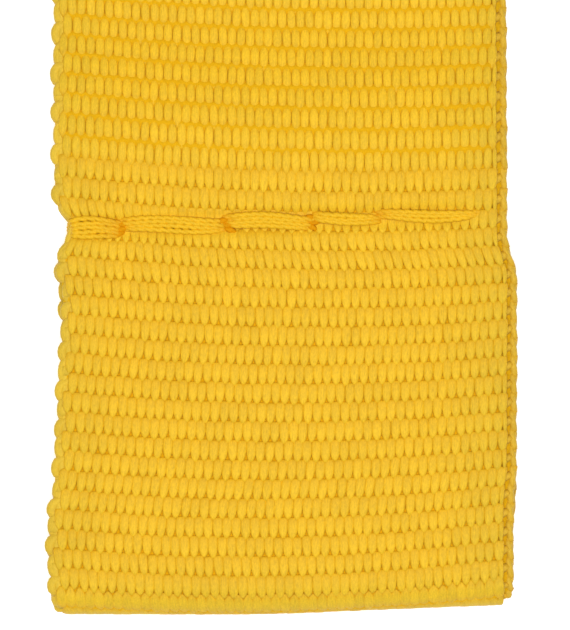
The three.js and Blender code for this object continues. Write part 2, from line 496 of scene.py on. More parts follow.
def new_shape_tree(name, inputs):
    """A Geometry Nodes tree with a geometry in and out, a material and the named inputs."""
    inputs = {"Geometry": ["Geometry"], "Material": ["Material"], **inputs}
    return new_tree(name, "GeometryNodeTree", inputs, {"Geometry": ["Geometry"]})


def finish_tree(tree, geometry, source, output):
    """Ends a Geometry Nodes tree in real geometry with its material."""
    real = add_node(tree, "GeometryNodeRealizeInstances", {0: geometry})
    shaded = add_node(tree, "GeometryNodeSetMaterial", {"Geometry": real, "Material": source["Material"]})
    tree.links.new(shaded.outputs[0], output.inputs[0])
    return tree


def repeat_tree():
    """Sets one pattern on every point, sized by the point's own size, with seeded irregularity."""
    name = "Repeat along rows"
    if name in bpy.data.node_groups:
        return bpy.data.node_groups[name]
    inputs = {"Object": ["Pattern"], "Vector": ["Wander", "Size Spread"], "Float": ["Lean Spread"], "Int": ["Seed"]}
    tree, source, output = new_shape_tree(name, inputs)

    def spread(seed_offset, low, high=1.0, vector=False):
        """A random value or vector for each point."""
        seed = calc(tree, "ADD", source["Seed"], seed_offset)
        ends = {0: (low,) * 3, 1: (high,) * 3} if vector else {2: low, 3: high}
        kind = "FLOAT_VECTOR" if vector else "FLOAT"
        value = add_node(tree, "FunctionNodeRandomValue", {**ends, 8: seed}, data_type=kind)
        return value.outputs[0 if vector else 1]

    def of_point(label):
        return add_node(tree, "GeometryNodeInputNamedAttribute", {"Name": label}, data_type="FLOAT_VECTOR")

    wander = calc(tree, "MULTIPLY", spread(0, -1.0, vector=True), source["Wander"], vector=True)
    moved = add_node(tree, "GeometryNodeSetPosition", {"Geometry": source["Geometry"], "Offset": wander})
    change = calc(tree, "MULTIPLY", spread(1, -1.0, vector=True), source["Size Spread"], vector=True)
    factor = calc(tree, "ADD", change, (1, 1, 1), vector=True)
    lean = calc(tree, "MULTIPLY", spread(2, -1.0), source["Lean Spread"])
    lean = add_node(tree, "ShaderNodeCombineXYZ", {2: lean})
    turned = calc(tree, "ADD", of_point("turn"), lean, vector=True)
    rotation = add_node(tree, "FunctionNodeEulerToRotation", {0: turned})
    pattern = add_node(tree, "GeometryNodeObjectInfo", {"Object": source["Pattern"], "As Instance": True})
    size = calc(tree, "MULTIPLY", of_point("size"), factor, vector=True)
    values = {"Points": moved, "Instance": pattern.outputs["Geometry"], "Rotation": rotation, "Scale": size}
    placed = add_node(tree, "GeometryNodeInstanceOnPoints", values)
    return finish_tree(tree, store(tree, placed, "tone", spread(3, 0.0), "INSTANCE"), source, output)


def thread_tree():
    """Twists two plies round each curve, with painted shade where its ends dive into the webbing."""
    name = "Twisted thread"
    if name in bpy.data.node_groups:
        return bpy.data.node_groups[name]
    inputs = {"Float": ["Ply Radius", "Twist Radius", "Twist Pitch", "Step"]}
    tree, source, output = new_shape_tree(name, inputs)
    steps = {"Curve": source["Geometry"], "Length": source["Step"]}
    resampled = add_node(tree, "GeometryNodeResampleCurve", steps, mode="LENGTH")
    place = add_node(tree, "GeometryNodeSplineParameter")
    centred = calc(tree, "MULTIPLY_ADD", place.outputs["Factor"], 2.0, -1.0)
    # Painted shade towards both ends, where the thread dives
    dive_shade = calc(tree, "POWER", calc(tree, "ABSOLUTE", centred), 5.0)
    stepped = store(tree, resampled, "depth", dive_shade, "POINT")
    turns = calc(tree, "DIVIDE", place.outputs["Length"], source["Twist Pitch"])
    tangent = add_node(tree, "GeometryNodeInputTangent")
    normal = add_node(tree, "GeometryNodeInputNormal")
    circle = {"Resolution": 6, "Radius": source["Ply Radius"]}
    profile = add_node(tree, "GeometryNodeCurvePrimitiveCircle", circle, mode="RADIUS")
    joined = add_node(tree, "GeometryNodeJoinGeometry")
    for phase in (0.0, 0.5):
        angle = calc(tree, "MULTIPLY", calc(tree, "ADD", turns, phase), math.tau)
        turn = {"Vector": normal, "Axis": tangent, "Angle": angle}
        out = add_node(tree, "ShaderNodeVectorRotate", turn, rotation_type="AXIS_ANGLE")
        offset = add_node(tree, "ShaderNodeVectorMath", {0: out, "Scale": source["Twist Radius"]}, operation="SCALE")
        ply = add_node(tree, "GeometryNodeSetPosition", {"Geometry": stepped, "Offset": offset})
        tube = add_node(tree, "GeometryNodeCurveToMesh", {"Curve": ply, "Profile Curve": profile, "Fill Caps": True})
        tree.links.new(tube.outputs[0], joined.inputs[0])
    smooth = add_node(tree, "GeometryNodeSetShadeSmooth", {"Geometry": joined})
    return finish_tree(tree, smooth, source, output)


def apply_tree(obj, tree, values, name):
    """Runs a tree on an object and returns the result as a plain mesh object."""
    modifier = obj.modifiers.new(tree.name, "NODES")
    modifier.node_group = tree
    sockets = {s.name: s.identifier for s in tree.interface.items_tree if s.in_out == "INPUT"}
    for label, value in values.items():
        modifier[sockets[label]] = value
    depsgraph = bpy.context.evaluated_depsgraph_get()
    mesh = bpy.data.meshes.new_from_object(obj.evaluated_get(depsgraph), depsgraph=depsgraph)
    mesh.name = name
    obj.modifiers.clear()
    piece = bpy.data.objects.new(name, mesh)
    bpy.context.scene.collection.objects.link(piece)
    remove_object(obj)
    return piece


# Materials


def yarn_group():
    """Colour and relief of filament yarn: fine streaks along it, a tone of its own and painted shade low down, a
    deeper colour mixed in by Depth.
    """
    name = "Filament yarn"
    if name in bpy.data.node_groups:
        return bpy.data.node_groups[name]
    inputs = {
        "Color": ["Yarn", "Painted Shade"],
        "Float": ["Depth", "Tone", "Tone Spread", "Streaks", "Fibres"],
        "Vector": ["Place", "Fibre Place"],
    }
    tree, source, output = new_tree(name, "ShaderNodeTree", inputs, {"Color": ["Color"], "Float": ["Height"]})

    def noise(place, detail, roughness):
        values = {"Vector": place, "Scale": 1.0, "Detail": detail, "Roughness": roughness}
        return add_node(tree, "ShaderNodeTexNoise", values).outputs[0]

    def about_zero(value, spread):
        return calc(tree, "MULTIPLY", calc(tree, "ADD", value, -0.5), spread)

    relief = noise(source["Place"], 3.0, 0.6)
    # Painted shade: Depth mixes the painted shade colour into the yarn's colour
    colours = {0: source["Depth"], 6: source["Yarn"], 7: source["Painted Shade"]}
    shade_mixed = add_node(tree, "ShaderNodeMix", colours, data_type="RGBA")
    toned = about_zero(source["Tone"], source["Tone Spread"])
    streaked = about_zero(relief, source["Streaks"])
    speckled = about_zero(noise(source["Fibre Place"], 2.0, 0.7), source["Fibres"])
    change = calc(tree, "ADD", toned, calc(tree, "ADD", speckled, streaked))
    value = calc(tree, "ADD", change, 1.0)
    coloured = add_node(tree, "ShaderNodeHueSaturation", {"Color": shade_mixed.outputs[2], "Value": value})
    tree.links.new(coloured.outputs[0], output.inputs["Color"])
    tree.links.new(relief, output.inputs["Height"])
    return tree


# Painted shade along the rim and at the tip's fold:
RIM_SHADE_SIDES = (14 * MM, 19.5 * MM)  # distance from the belt's middle where the rim's colour starts and is full
TIP_SHADE_REACH = 4 * MM
STREAK_SCALE = (2500.0, 4500.0)  # of streaks without a UV map, per metre
FIBRE_SCALE = (8000, 3500, 8000)
FIBRE_STRENGTH = 0.5
TONE_OFFSET = 91.0  # sets the streaks of yarns of different tone apart


def yarn_material(
    name, yarn, painted_shade, tone_spread, streaks, place_scale, relief, roughness, rim_shade_colour=None, shine=0.28
):
    """A yarn finish. Its UV map runs round and along each float, loop or strand; the belt's rim and the tip's fold
    may take a painted shade colour.
    """
    material = bpy.data.materials.new(name)
    material.use_nodes = True
    tree = material.node_tree
    shader = tree.nodes["Principled BSDF"]
    coords = add_node(tree, "ShaderNodeTexCoord").outputs["Object"]
    if place_scale:
        uv = add_node(tree, "ShaderNodeUVMap", uv_map="UVMap")
    else:
        uv, place_scale = coords, STREAK_SCALE
    tone, depth = (
        add_node(tree, "ShaderNodeAttribute", attribute_name=label).outputs["Fac"] for label in ("tone", "depth")
    )

    def ramp(value, start, end):
        values = {0: value, 1: start, 2: end, 3: 0.0, 4: 1.0}
        return add_node(tree, "ShaderNodeMapRange", values)

    # Painted shade on the rim and on the tip's fold
    place_xyz = add_node(tree, "ShaderNodeSeparateXYZ", {0: coords}).outputs
    sides = ramp(calc(tree, "ABSOLUTE", place_xyz[0]), *RIM_SHADE_SIDES)
    tip = ramp(place_xyz[1], TIP_Y + TIP_SHADE_REACH, TIP_Y)
    rim_shade = {0: calc(tree, "MAXIMUM", sides, tip), 6: (*yarn, 1), 7: (*(rim_shade_colour or yarn), 1)}
    rim_shaded = add_node(tree, "ShaderNodeMix", rim_shade, data_type="RGBA")
    scaled = calc(tree, "MULTIPLY", uv, (*place_scale, 1500.0), vector=True)
    shift = add_node(tree, "ShaderNodeCombineXYZ", {2: calc(tree, "MULTIPLY", tone, TONE_OFFSET)})
    values = {
        "Yarn": rim_shaded.outputs[2],
        "Painted Shade": (*painted_shade, 1),
        "Depth": depth,
        "Tone": tone,
        "Tone Spread": tone_spread,
        "Streaks": streaks,
        "Place": calc(tree, "ADD", scaled, shift, vector=True),
        "Fibre Place": calc(tree, "MULTIPLY", coords, FIBRE_SCALE, vector=True),
        "Fibres": FIBRE_STRENGTH,
    }
    group = add_node(tree, "ShaderNodeGroup", values, node_tree=yarn_group())
    heights = {"Strength": relief, "Distance": 0.05 * MM, "Height": group.outputs["Height"]}
    bump = add_node(tree, "ShaderNodeBump", heights)
    tree.links.new(group.outputs["Color"], shader.inputs["Base Color"])
    tree.links.new(bump.outputs[0], shader.inputs["Normal"])
    settings = {
        "Roughness": roughness, "Specular IOR Level": shine, "Sheen Weight": 0.1 * shine, "Sheen Roughness": 0.4,
    }
    for label, value in settings.items():
        shader.inputs[label].default_value = value
    return material


def plain_material(name, colour, roughness, glow):
    material = bpy.data.materials.new(name)
    material.use_nodes = True
    inputs = material.node_tree.nodes["Principled BSDF"].inputs
    inputs["Base Color"].default_value = (*colour, 1)
    inputs["Roughness"].default_value = roughness
    inputs["Emission Color"].default_value = (1, 1, 1, 1)
    inputs["Emission Strength"].default_value = glow
    return material


# Patterns

# A float's outline from its lower end to its upper one: width, crest, roundness across and depth, its share of
# painted shade
OVAL = {
    "place": (0.0, 0.08, 0.18, 0.32, 0.5, 0.68, 0.82, 0.92, 1.0),
    "width": (0.2, 0.55, 0.88, 1.03, 1.06, 1.03, 0.88, 0.55, 0.2),
    "crest": (0.50, 0.74, 0.87, 0.97, 1.0, 0.97, 0.87, 0.74, 0.50),
    "round": (0.8, 0.7, 0.55, 0.42, 0.38, 0.42, 0.55, 0.7, 0.8),
    "depth": (0.5, 0.45, 0.30, 0.08, 0.0, 0.06, 0.26, 0.42, 0.5),
}
# The hem's floats: painted shade deepens towards the upper end, and the lower tip, nearly free of it, stands in for
# light falling on it
DROPLET = {
    "place": (0.0, 0.06, 0.17, 0.32, 0.52, 0.72, 0.86, 0.95, 1.0),
    "width": (0.14, 0.50, 0.84, 1.03, 1.13, 1.18, 1.18, 1.12, 0.94),
    "crest": (0.56, 0.80, 0.95, 1.02, 1.00, 0.93, 0.86, 0.76, 0.50),
    "round": (0.9, 0.7, 0.55, 0.42, 0.38, 0.38, 0.42, 0.5, 0.6),
    "depth": (0.12, 0.02, 0.0, 0.04, 0.16, 0.32, 0.46, 0.55, 0.6),
}


# Painted shade down a float's sides
FLANK_SHADE = 0.95  # how much deeper in colour a float's sides are than its crest


def float_pattern(name, profile, rings, sides):
    """One warp float, one unit wide, long and high, from its lower end to its upper end."""
    known = profile["place"]
    places = np.linspace(0, 1, rings) if rings != len(known) else np.array(known)
    keys = ("width", "crest", "round", "depth")
    width, crest, blunt, painted_shade = (np.interp(places, known, profile[key]) for key in keys)
    angles = math.pi * np.arange(sides) / (sides - 1)
    out = np.sign(np.cos(angles)) * np.abs(np.cos(angles)) ** 0.75
    rise = np.sin(angles)[None, :] ** blunt[:, None]
    thick = 0.35 + 0.65 * np.sqrt(np.clip(width, 0.1, 1.2))
    x = -width[:, None] / 2 * out[None, :]
    y = np.broadcast_to(places[:, None] - 0.5, x.shape)
    z = crest[:, None] - thick[:, None] * (1 - rise)
    points = np.stack([x, y, z], -1).reshape(-1, 3)
    uv = np.stack([np.broadcast_to(0.5 - out / 2, x.shape), y + 0.5], -1).reshape(-1, 2)
    # Painted shade: deeper at the float's ends and down its sides
    depth = np.clip(painted_shade[:, None] + FLANK_SHADE * (1 - rise), 0, 1).ravel()
    faces = [tuple(reversed(f)) for f in tube_faces(rings, sides)]
    return mesh_object(name, points, faces, uv, depth)


def joined_tubes(name, tubes, sides):
    """Closed tubes as one mesh, with a UV map round and along each, with painted shade at their ends by a share,
    where they go under other yarn.
    """
    points, faces, uv, depth = [], [], [], []
    for path, radii, end_shade in tubes:
        path = np.asarray(path, float)
        faces += tube_faces(len(path), sides, len(points))
        points += list(tube_points(path, radii, sides))
        for share in np.linspace(0, 1, len(path)):
            uv += [(side / sides, share) for side in range(sides)]
            depth += [end_shade * abs(2 * share - 1) ** 4] * sides
    return mesh_object(name, points, faces, uv, depth)


LOOP_LENGTH = 3.5 * MM
LINK_LENGTH = 1.8 * MM


def loop_pattern(rings, sides, padded):
    """The weft's turns at the left edge over two rows: one that stands out, one behind it, and the yarn inside."""
    shares = np.linspace(-1, 1, rings)
    turns = []
    for centre, reach, depth, radius in ((0.0, 0.80, 0.50, 0.48), (0.5, 1.15, 0.73, 0.46)):
        for lift in (0.3, -0.3):
            x = MM * (depth + 1.3 * np.abs(shares) ** 2.4)
            y = centre * LOOP_LENGTH + reach * MM * np.sin(shares * math.pi / 2)
            z = MM * lift * (1 + 0.6 * shares * np.sign(lift))
            turns.append((np.stack([x, y, z], 1), MM * (radius - 0.08 * shares**2), 0.4))
    if padded:
        for lift in (0.34, -0.34):
            x = MM * (1.0 + 0.08 * np.cos(math.pi * shares))
            path = np.stack([x, 0.62 * LOOP_LENGTH * shares, np.full(rings, lift * MM)], 1)
            turns.append((path, MM * (0.46 + 0.04 * np.cos(math.tau * shares)), 0.0))
    return joined_tubes("weft_loop_pattern", turns, sides)


def link_pattern(rings, sides):
    """One link of the lock cord: two plies in half a turn, and the weft's loop that they hold."""
    shares = np.linspace(-0.04, 1.04, rings)
    tubes = []
    for phase in (0, math.pi):
        angles = math.pi * shares + phase
        path = [0.10 * MM * np.cos(angles), (shares - 0.5) * LINK_LENGTH, 0.18 * MM * np.sin(angles)]
        # The last value of each tube is its share of painted shade at the ends
        tubes.append((np.stack(path, 1), 0.31 * MM, 0.5))
    shares = np.linspace(0, 1, 5)
    rise = 0.1 * np.sin(math.pi * shares)
    bridge = [MM * (0.95 * shares - 1.1), LINK_LENGTH * (0.35 * shares - 0.25), MM * (0.16 + rise)]
    tubes.append((np.stack(bridge, 1), 0.38 * MM, 0.7))
    return joined_tubes("lock_link_pattern", tubes, sides)


# Pieces


def settle(piece, bodies):
    """Gives a finished piece its body; a piece across the bend, with two bodies, only has its transform baked into
    its points.
    """
    if len(bodies) == 2:
        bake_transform(piece)
    else:
        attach(piece, bodies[0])


def woven_piece(plan, name, points, sizes, pattern, material, spread, seed, turn=(0.0, 0.0, 0.0)):
    """Sets a pattern on places of the flat cloth and lays the result along the belt.

    The spread is how far it wanders in millimetres, how its sizes vary by shares and how many degrees it leans.
    """
    mesh = bpy.data.meshes.new(f"{name}_places")
    mesh.vertices.add(len(points))
    mesh.vertices.foreach_set("co", np.asarray(points, np.float32).ravel())
    for label, values in (("size", sizes), ("turn", turn)):
        attribute = mesh.attributes.new(label, "FLOAT_VECTOR", "POINT")
        for_each = np.broadcast_to(values, (len(points), 3))
        attribute.data.foreach_set("vector", np.ascontiguousarray(for_each, np.float32).ravel())
    source = bpy.data.objects.new(f"{name}_places", mesh)
    bpy.context.scene.collection.objects.link(source)
    wander, size_spread, lean = spread
    values = {
        "Pattern": pattern,
        "Wander": tuple(way * MM for way in wander),
        "Size Spread": size_spread,
        "Lean Spread": math.radians(lean),
        "Seed": seed,
        "Material": material,
    }
    piece = apply_tree(source, repeat_tree(), values, name)
    lay_piece(piece, plan)
    return piece


def thin_share(places, spans):
    """1 where floats cover the core, 0 where the core is the whole thickness."""
    share = np.zeros(len(places))
    for start, end in spans:
        rising = smoothstep(places, start - MM, start + MM)
        share = np.maximum(share, rising * smoothstep(places, end + MM, end - MM))
    return share


# How high the core rises between the floats along one row, by the share of the row
OPEN_RISE = ((0, 0.1, 0.18, 0.3, 0.7, 0.85, 0.93, 1), (0.88, 0.80, 0.48, 0.24, 0.4, 0.6, 0.8, 0.88))
HEM_RISE = ((0, 0.2, 0.5, 0.8, 1), (0.18, 0.20, 0.42, 0.52, 0.34))
FINE_STEPS = (0.0, 0.1, 0.18, 0.3, 0.5, 0.7, 0.85, 0.93)
COARSE_STEPS = (0.0, 0.25, 0.5, 0.75)


def core_stations(plan):
    """Places along the cloth for the core's rings, with each one's phase in its row."""
    places, phases = [], []
    for middle, pitch in zip(plan.rows, plan.pitches):
        steps = FINE_STEPS if abs(middle) < Plan.VIEW_END else COARSE_STEPS
        if plan.outer_end < middle < plan.core_start:
            steps = (0.5,)
        for step in steps:
            places.append(middle + (step - 0.5) * pitch)
            phases.append(step)
    places.append(plan.rows[-1] + plan.pitches[-1] / 2)
    phases.append(0.0)
    return np.array(places), np.array(phases)


def core_heights(plan, places, phases, spans):
    """Half thickness of the core: it is low between the floats and rises where a row's floats go into it."""
    tall = plan.weave.float_height
    thin = thin_share(places, spans)
    above = plan.lay.hem_length + PAST_SEAM
    hem = smoothstep(places, 0.5 * MM, 1.5 * MM) * smoothstep(places, above + MM, above)
    open_rise, hem_rise = (np.interp(phases, *rise) for rise in (OPEN_RISE, HEM_RISE))
    covered = SURFACE - tall + tall * (open_rise + (hem_rise - open_rise) * hem)
    bare = (SURFACE - 0.04 * MM) * (0.84 + 0.16 * np.sin(math.pi * phases) ** 2)
    return bare + (covered - bare) * thin


CORE_INSET = 0.45 * MM
# Share of the core's height by the distance in millimetres from its left edge, the belt's middle, its right edge
CORE_LEFT = ((0.0, 0.35), (0.5, 0.8), (1.1, 1.0))
CORE_MIDDLE = (-13.0, -6.5, 0.0, 6.5, 12.0, 16.0)
CORE_RIGHT = ((-1.0, 1.0), (-0.65, 0.4), (0.0, 0.3))


class BELT_OT_core(bpy.types.Operator):
    """Make the webbing's core, one closed ribbed strap from raw end to raw end"""

    bl_idname = "belt.core"
    bl_label = "Webbing Core"

    def execute(self, context):
        plan = Plan(context.scene)
        colours = context.scene.belt_colours
        places, phases = core_stations(plan)
        front, back = (core_heights(plan, places, phases, spans) for spans in (plan.front_spans, plan.back_spans))
        left, right = LEFT + CORE_INSET, RIGHT - CORE_INSET
        profile = [(left + across * MM, share) for across, share in CORE_LEFT]
        profile += [(across * MM, 1.0) for across in CORE_MIDDLE]
        profile += [(right + across * MM, share) for across, share in CORE_RIGHT]
        across, shares = np.array(profile).T
        # inner: less painted shade towards the core's edges
        inner = np.interp(across, (left, left + 1.1 * MM, right - MM, right), (0.2, 1, 1, 0.5))
        out = np.concatenate([front[:, None] * shares, -back[:, None] * shares[::-1]], 1)
        across, inner = (np.concatenate([values, values[::-1]]) for values in (across, inner))
        middle = np.repeat(places[:, None], len(across), 1)
        along = middle + row_shift(across, middle, plan.lay, plan.weave)
        points = np.stack([np.broadcast_to(across, along.shape), along, out], -1).reshape(-1, 3)
        faces = [tuple(reversed(face)) for face in tube_faces(len(places), len(across))]
        # Painted shade in the core: full low between a row's floats and all through the hem, less where it rises
        # between rows
        hem = smoothstep(np.abs(places - 19 * MM), 19 * MM, 18 * MM)
        painted_shade = np.interp(phases, (0, 0.1, 0.25, 0.8, 0.93, 1), (0.72, 0.72, 1.0, 1.0, 0.8, 0.72))
        core = mesh_object("webbing", points, faces, None, (np.maximum(painted_shade, hem)[:, None] * inner).ravel())
        lay_piece(core, plan)
        material = yarn_material("webbing_core", colours.yarn, colours.painted_shade, 0, 0.2, None, 0.4, 0.85, shine=0.10)
        core.data.materials.append(material)
        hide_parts("webbing_tail", "webbing_middle", "webbing_roll")
        settle(core, ("tail", "roll"))
        return {"FINISHED"}


FOLD_ENDS = (-5 * MM, 1.2 * MM)  # the rows that go round the tip's fold
FLOAT_SPREAD = ((0.025, 0.06, 0.02), (0.04, 0.05, 0.05), 3)


class BELT_OT_floats(bpy.types.Operator):
    """Weave the warp floats over both faces of the webbing"""

    bl_idname = "belt.floats"
    bl_label = "Warp Floats"

    def execute(self, context):
        plan = Plan(context.scene)
        colours = context.scene.belt_colours
        material = yarn_material(
            "warp_yarn", colours.yarn, colours.painted_shade, 0.07, 0.5, (9.0, 3.0), 0.8, 0.65, colours.rim_shade
        )
        fine = float_pattern("fine_float", OVAL, 9, 9)
        fine_drop = float_pattern("fine_droplet", DROPLET, 9, 9)
        medium = float_pattern("medium_float", OVAL, 7, 5)
        coarse = float_pattern("coarse_float", OVAL, 5, 4)
        route = plan.route
        wrap, fold = FOLD_ENDS
        tail, bend, roll = ("tail",), ("tail", "roll"), ("roll",)
        half_roll = (route.roll_start + plan.outer_end) / 2
        seam = route.lay.hem_length + PAST_SEAM
        jobs = [  # name, start, end, face, pattern, bodies, length for each row's pitch
            ("hem_floats", fold, seam, 1, fine_drop, tail, 1.16),
            ("fold_floats", wrap, fold, 1, fine, tail, 1.25),
            ("tip_floats", seam, plan.VIEW_END, 1, fine, tail, 1.34),
            ("flap_floats", route.raw_start, wrap, 1, coarse, tail, 1.28),
            ("middle_floats", plan.VIEW_END, plan.middle_end, 1, medium, bend, 1.28),
            ("underside_floats", plan.underside_start, route.roll_start, -1, coarse, bend, 1.28),
            ("roll_floats_rear", route.roll_start, half_roll, -1, coarse, roll, 1.28),
            ("roll_floats_front", half_roll, plan.outer_end, -1, coarse, roll, 1.28),
            ("core_floats", plan.core_start, route.raw_end, 1, coarse, roll, 1.28),
        ]
        for index, (name, start, end, side, pattern, bodies, overlap) in enumerate(jobs):
            points, sizes = float_points(plan, start, end, side)
            sizes = sizes * (1, overlap, 1)
            turn = (0.0, 0.0 if side > 0 else math.pi, 0.0)
            seed = SEED + 10 * index
            piece = woven_piece(plan, name, points, sizes, pattern, material, FLOAT_SPREAD, seed, turn)
            settle(piece, bodies)
        for pattern in (fine, fine_drop, medium, coarse):
            remove_object(pattern)
        return {"FINISHED"}


EDGE_SPLIT = 70 * MM  # the edges are made finely up to here
CORD_INSET = 0.42 * MM
LOOP_SPREAD = ((0.07, 0.1, 0.05), (0.12, 0.05, 0.10), 4)
LINK_SPREAD = ((0.03, 0.03, 0.03), (0.08, 0.02, 0.08), 2)


class BELT_OT_selvedges(bpy.types.Operator):
    """Make the weft loops along the left edge and the lock cord along the right edge"""

    bl_idname = "belt.selvedges"
    bl_label = "Selvedges"

    def execute(self, context):
        plan = Plan(context.scene)
        colours = context.scene.belt_colours
        material = yarn_material("edge_yarn", colours.edge, colours.painted_shade, 0.10, 0.25, (7.0, 2.5), 0.5, 0.7)
        cord = yarn_material("lock_cord", colours.cord, colours.painted_shade, 0.08, 0.25, (7.0, 2.5), 0.5, 0.7)
        first, last = plan.rows[0] - MM, plan.rows[-1] + MM
        spans = ((first, EDGE_SPLIT, 11, 10, ("tail",)), (EDGE_SPLIT, last, 6, 5, ("tail", "roll")))
        for index, (start, end, rings, sides, bodies) in enumerate(spans):
            chosen = np.flatnonzero((plan.rows >= start) & (plan.rows < end))
            pairs = chosen[chosen % 2 == 0]
            points, sizes = self.along_edge(plan, pairs, LEFT, plan.pitches[pairs] * 2 / LOOP_LENGTH, 0.5)
            pattern = loop_pattern(rings, sides, index == 0)
            name = ("weft_loops_tail", "weft_loops_roll")[index]
            piece = woven_piece(plan, name, points, sizes, pattern, material, LOOP_SPREAD, SEED + 101 + index)
            remove_object(pattern)
            settle(piece, bodies)
            lengths = plan.pitches[chosen] / LINK_LENGTH
            points, sizes = self.along_edge(plan, chosen, RIGHT - CORD_INSET, lengths, 0.0)
            pattern = link_pattern(max(rings - 4, 4), max(sides - 3, 4))
            name = ("lock_cord_front", "lock_cord_rear")[index]
            piece = woven_piece(plan, name, points, sizes, pattern, cord, LINK_SPREAD, SEED + 201 + index)
            remove_object(pattern)
            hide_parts(("lock_cord_tail", "lock_cord_roll")[index])
            settle(piece, bodies)
        return {"FINISHED"}

    def along_edge(self, plan, chosen, across, lengths, row_share):
        """A point for each chosen row at a place across, moved along by a share of its pitch, and its size."""
        middle = plan.rows[chosen] + row_share * plan.pitches[chosen]
        across, ones = np.full(len(middle), across), np.ones(len(middle))
        places = middle + row_shift(across, middle, plan.lay, plan.weave)
        return np.stack([across, places, 0 * ones], 1), np.stack([ones, lengths, ones], 1)


STITCHES = [-14.1 * MM, -4.7 * MM, 2.9 * MM, 8.6 * MM, 18.0 * MM]  # where the thread dives, across the belt
STRAND = 0.375 * MM  # from one strand to the next
PLY_RADIUS, TWIST_RADIUS = 0.205 * MM, 0.065 * MM
SEAM_HEIGHT = 0.84 * MM
WRAP_EDGE = LEFT + 0.95 * MM  # where the first strands turn round the left edge
WRAP_OUT = 0.3 * MM


def above_floor(strand):
    """Keeps a strand's middle line its own half thickness above the floor."""
    strand[:, 2] = np.maximum(strand[:, 2], 0.28 * MM)
    return strand


def stitch_run(route, place, ends, strand, count, bend, rng):
    """One strand of one stitch on the flat cloth: up out of the webbing, across and down again."""
    start, end = ends
    shares = np.linspace(0, 1, 28)
    slack = rng.uniform(0.0, 0.7) * MM
    across = start - slack + (end - start + 2 * slack) * shares
    rise = 1 - np.abs(2 * shares - 1) ** 6
    taper = 1 - 0.2 * smoothstep(across, -18 * MM, 17 * MM)
    last = smoothstep(across, 15.8 * MM, 18.4 * MM)
    gather = (0.6 + 0.4 * np.sin(math.pi * shares) ** 0.7) * (1 - 0.7 * last)
    side = (strand - (count - 1) / 2) * STRAND * taper * gather
    wave = 0.045 * MM * np.sin(shares * math.tau * rng.uniform(0.6, 1.6) + rng.uniform(0, math.tau))
    wave = wave + 0.1 * MM * np.sin(shares * math.tau + bend)
    cross = 0.24 * MM * (1 - 2 * shares) * (1 - last)
    along = route.seam_line(across, place) + side + wave + cross
    out = SEAM_HEIGHT - 0.6 * MM * (1 - rise) + 0.06 * MM * rng.uniform(-1, 1)
    return np.stack([across, along, out], 1)


def seam_strands(route, places, rng):
    """Every strand of one seam as lists of points in the belt: front and back runs, and the wrap round the edge."""
    strands = []
    bends = rng.uniform(0, math.tau, (2, len(STITCHES)))
    for strand in range(5):
        runs = []
        for place, bend in zip(places, bends[:, 0]):
            run = stitch_run(route, place, (WRAP_EDGE - MM, STITCHES[0]), strand, 5, bend, rng)
            run[:, 2] = np.where(run[:, 0] < WRAP_EDGE + 2 * MM, SEAM_HEIGHT, run[:, 2])
            runs.append(route.lay_points(run[run[:, 0] > WRAP_EDGE]))
        front, back = runs
        top, low = front[0], back[0]
        shares = np.linspace(0, math.pi, 9)[1:-1, None]
        middle = (top + low) / 2
        wrap = middle + (top - middle) * np.cos(shares) - np.array([WRAP_OUT, 0, 0]) * np.sin(shares)
        strands.append(above_floor(np.concatenate([front[::-1], wrap, back])))
    for place, bend in zip(places, bends):
        for number, ends in enumerate(zip(STITCHES[:-1], STITCHES[1:])):
            count = 4 if number < 2 else 3
            for strand in range(count):
                run = stitch_run(route, place, ends, strand, count, bend[number + 1], rng)
                strands.append(above_floor(route.lay_points(run)))
    return strands


def seam_knots(route, places, rng):
    """Short turns of thread where the stitches go into the webbing, as lists of points in the belt."""
    shares = np.linspace(-1, 1, 12)
    out = SEAM_HEIGHT - MM * (0.12 + 0.45 * shares**2)
    knots = []
    for place in places:
        for stitch in STITCHES[:3]:
            for side in (-1, 0, 1):
                lean = rng.uniform(-0.4, 0.2)
                across = stitch + 0.55 * MM * shares + rng.uniform(-0.4, 0.4) * MM
                along = route.seam_line(across, place) + MM * (0.42 * side - 0.2 + lean * shares)
                knots.append(above_floor(route.lay_points(np.stack([across, along, out], 1))))
    return knots


